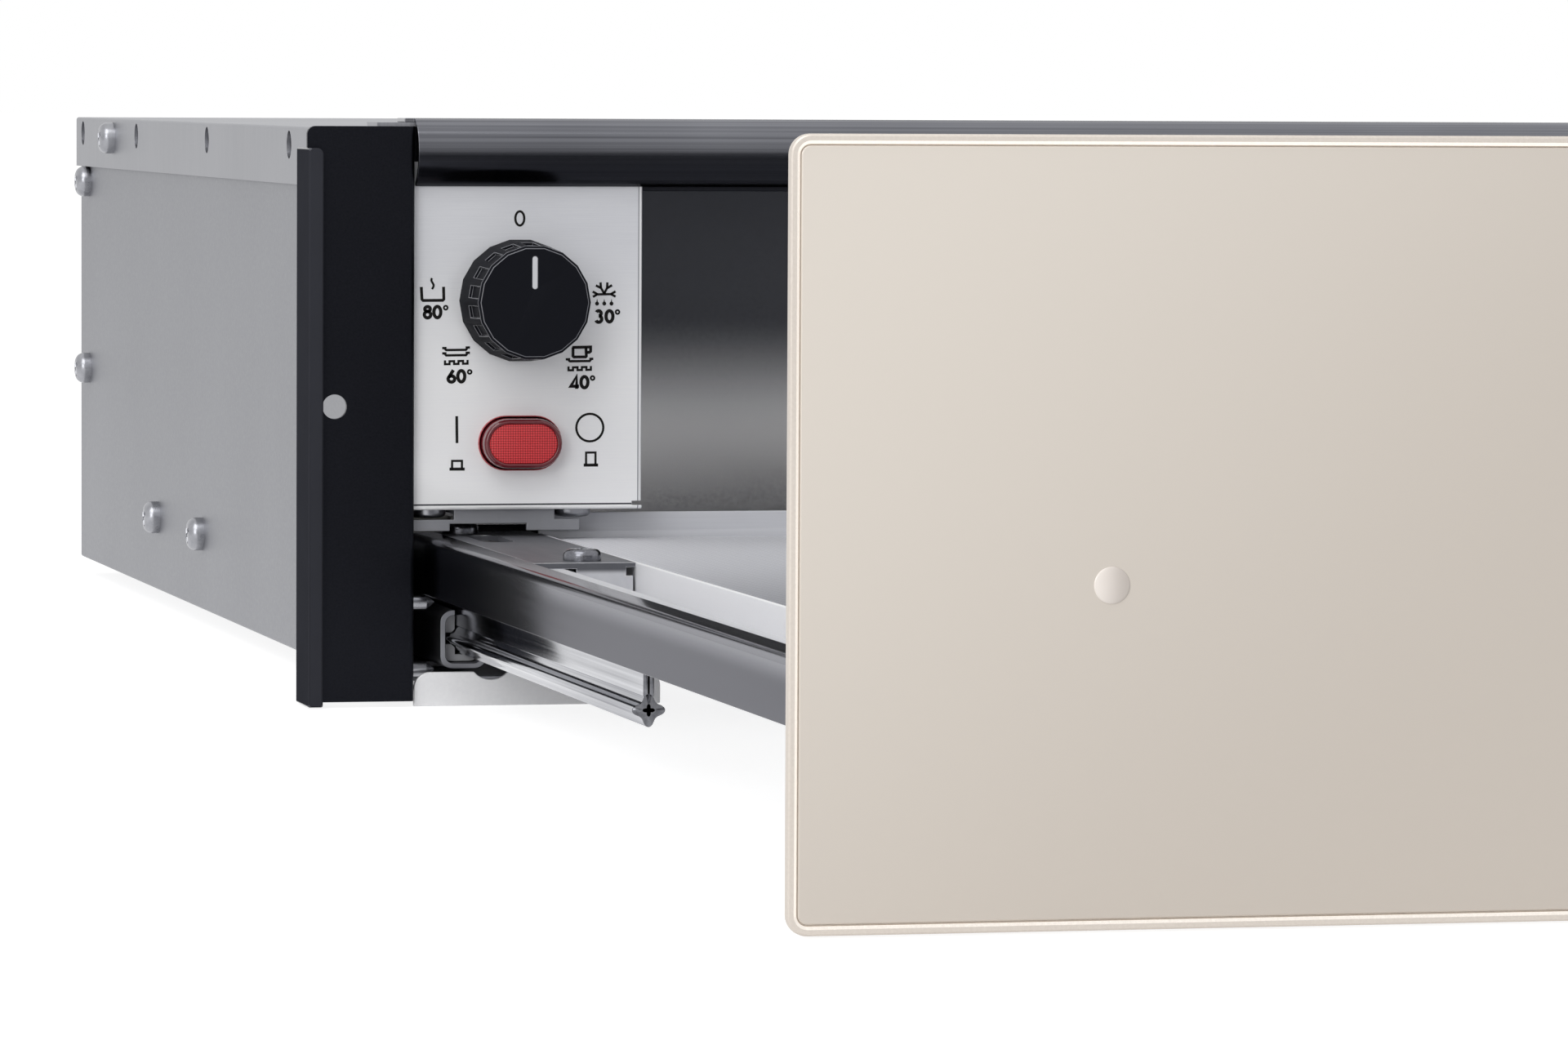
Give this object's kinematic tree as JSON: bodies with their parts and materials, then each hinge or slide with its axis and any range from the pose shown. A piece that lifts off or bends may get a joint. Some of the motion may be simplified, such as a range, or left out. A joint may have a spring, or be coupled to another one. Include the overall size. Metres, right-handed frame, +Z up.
{
  "type": "built-in warming drawer",
  "caption": "Low built-in warming drawer with flanged steel housing, heated tray on telescopic slides, glass front and a control panel with knob and lit switch.",
  "frame": {"origin": "midway between the two flange screws, on the front face of the mounting flanges", "axes": "+X to the right seen from the front, +Y back into the niche, +Z up; the drawer opens towards -Y and rests open at joint value 0"},
  "size_m": [0.595, 1.032, 0.1405],
  "materials": {
    "galvanised_steel": "satin",
    "black_steel": "satin black paint",
    "bright_steel": "smooth bright",
    "dark_steel": "smooth",
    "slide_steel": "bright zinc",
    "tray_steel": "satin",
    "cage_plastic": "matt",
    "mat_silicone": "finely dotted",
    "front_aluminium": "greige anodised",
    "coloured_glass": "greige, coloured at the back",
    "clear_lens": "clear, domed",
    "black_plastic": "semi gloss",
    "white_plastic": "plain",
    "red_plastic": "translucent, ribbed",
    "screw_steel": "zinc plated",
    "heater_sheath": "annealed",
    "copper_tube": "drawn",
    "wire_sleeve": "sleeve"
  },
  "bodies": {
    "housing": {"bottom_panel": "galvanised_steel", "cabinet_rail_left": "slide_steel", "cabinet_rail_right": "slide_steel", "cable_gland": "black_plastic", "ceiling_liner": "galvanised_steel", "control_box": "galvanised_steel", "control_bracket": "dark_steel", "control_panel": "bright_steel", "edge_trim_left": "black_steel", "edge_trim_right": "black_steel", "foot_bracket_left": "bright_steel", "foot_bracket_right": "bright_steel", "heat_shield": "galvanised_steel", "heater_element": "heater_sheath", "heater_saddles": "screw_steel", "housing_screws": "screw_steel", "latch_body": "black_plastic", "mounting_flange_left": "black_steel", "mounting_flange_right": "black_steel", "rear_feet": "galvanised_steel", "rear_panel": "galvanised_steel", "sensor_capillary": "copper_tube", "side_panel_left": "galvanised_steel", "side_panel_right": "galvanised_steel", "slide_bracket_left": "galvanised_steel", "slide_bracket_right": "galvanised_steel", "switch_bezel": "red_plastic", "switch_body": "black_plastic", "tapping_screws": "screw_steel", "terminal_block": "white_plastic", "thermal_cutout": "screw_steel", "thermostat": "screw_steel", "top_lid": "galvanised_steel", "top_rail": "black_steel", "wiring_loom": "wire_sleeve"},
    "drawer": {"cover_screws": "screw_steel", "drawer_rail_left": "slide_steel", "drawer_rail_right": "slide_steel", "front_carrier": "dark_steel", "front_frame": "front_aluminium", "front_glass": "coloured_glass", "indicator_lens": "clear_lens", "latch_striker": "dark_steel", "rear_cover_left": "dark_steel", "rear_cover_right": "dark_steel", "side_rail_left": "slide_steel", "side_rail_right": "slide_steel", "tray": "tray_steel", "tray_mat": "mat_silicone"},
    "knob": {"control_knob": "black_plastic", "knob_pointer": "white_plastic", "knob_spindle": "screw_steel"},
    "switch_button": {"switch_button": "red_plastic"},
    "latch_plunger": {"latch_plunger": "white_plastic"},
    "middle_rail_left": {"middle_rail_left": "slide_steel"},
    "lower_cage_left": {"ball_cage_lower_left": "cage_plastic"},
    "upper_cage_left": {"ball_cage_upper_left": "cage_plastic"},
    "middle_rail_right": {"middle_rail_right": "slide_steel"},
    "lower_cage_right": {"ball_cage_lower_right": "cage_plastic"},
    "upper_cage_right": {"ball_cage_upper_right": "cage_plastic"}
  },
  "joints": [
    {"name": "drawer_slide", "type": "slide", "parent": "housing", "child": "drawer", "axis": [0, 1, 0], "range_m": [0, 0.48]},
    {"name": "middle_rail_left_slide", "type": "slide", "parent": "housing", "child": "middle_rail_left", "axis": [0, 1, 0], "range_m": [0, 0.24]},
    {"name": "lower_cage_left_slide", "type": "slide", "parent": "housing", "child": "lower_cage_left", "axis": [0, 1, 0], "range_m": [0, 0.12]},
    {"name": "upper_cage_left_slide", "type": "slide", "parent": "housing", "child": "upper_cage_left", "axis": [0, 1, 0], "range_m": [0, 0.36]},
    {"name": "middle_rail_right_slide", "type": "slide", "parent": "housing", "child": "middle_rail_right", "axis": [0, 1, 0], "range_m": [0, 0.24]},
    {"name": "lower_cage_right_slide", "type": "slide", "parent": "housing", "child": "lower_cage_right", "axis": [0, 1, 0], "range_m": [0, 0.12]},
    {"name": "upper_cage_right_slide", "type": "slide", "parent": "housing", "child": "upper_cage_right", "axis": [0, 1, 0], "range_m": [0, 0.36]},
    {"name": "knob_turn", "type": "hinge", "parent": "housing", "child": "knob", "pos_m": [-0.2456, -0.005, 0.0251], "axis": [0, 1, 0], "range_deg": [0, 270]},
    {"name": "switch_press", "type": "slide", "parent": "housing", "child": "switch_button", "axis": [0, 1, 0], "range_m": [0, 0.003], "stiffness_N_per_m": 800},
    {"name": "latch_press", "type": "slide", "parent": "housing", "child": "latch_plunger", "axis": [0, 1, 0], "range_m": [0, 0.005], "stiffness_N_per_m": 600}
  ],
  "couplings": [
    {"joint": "middle_rail_left_slide", "follows": "drawer_slide", "ratio": 0.5},
    {"joint": "lower_cage_left_slide", "follows": "drawer_slide", "ratio": 0.25},
    {"joint": "upper_cage_left_slide", "follows": "drawer_slide", "ratio": 0.75},
    {"joint": "middle_rail_right_slide", "follows": "drawer_slide", "ratio": 0.5},
    {"joint": "lower_cage_right_slide", "follows": "drawer_slide", "ratio": 0.25},
    {"joint": "upper_cage_right_slide", "follows": "drawer_slide", "ratio": 0.75}
  ]
}
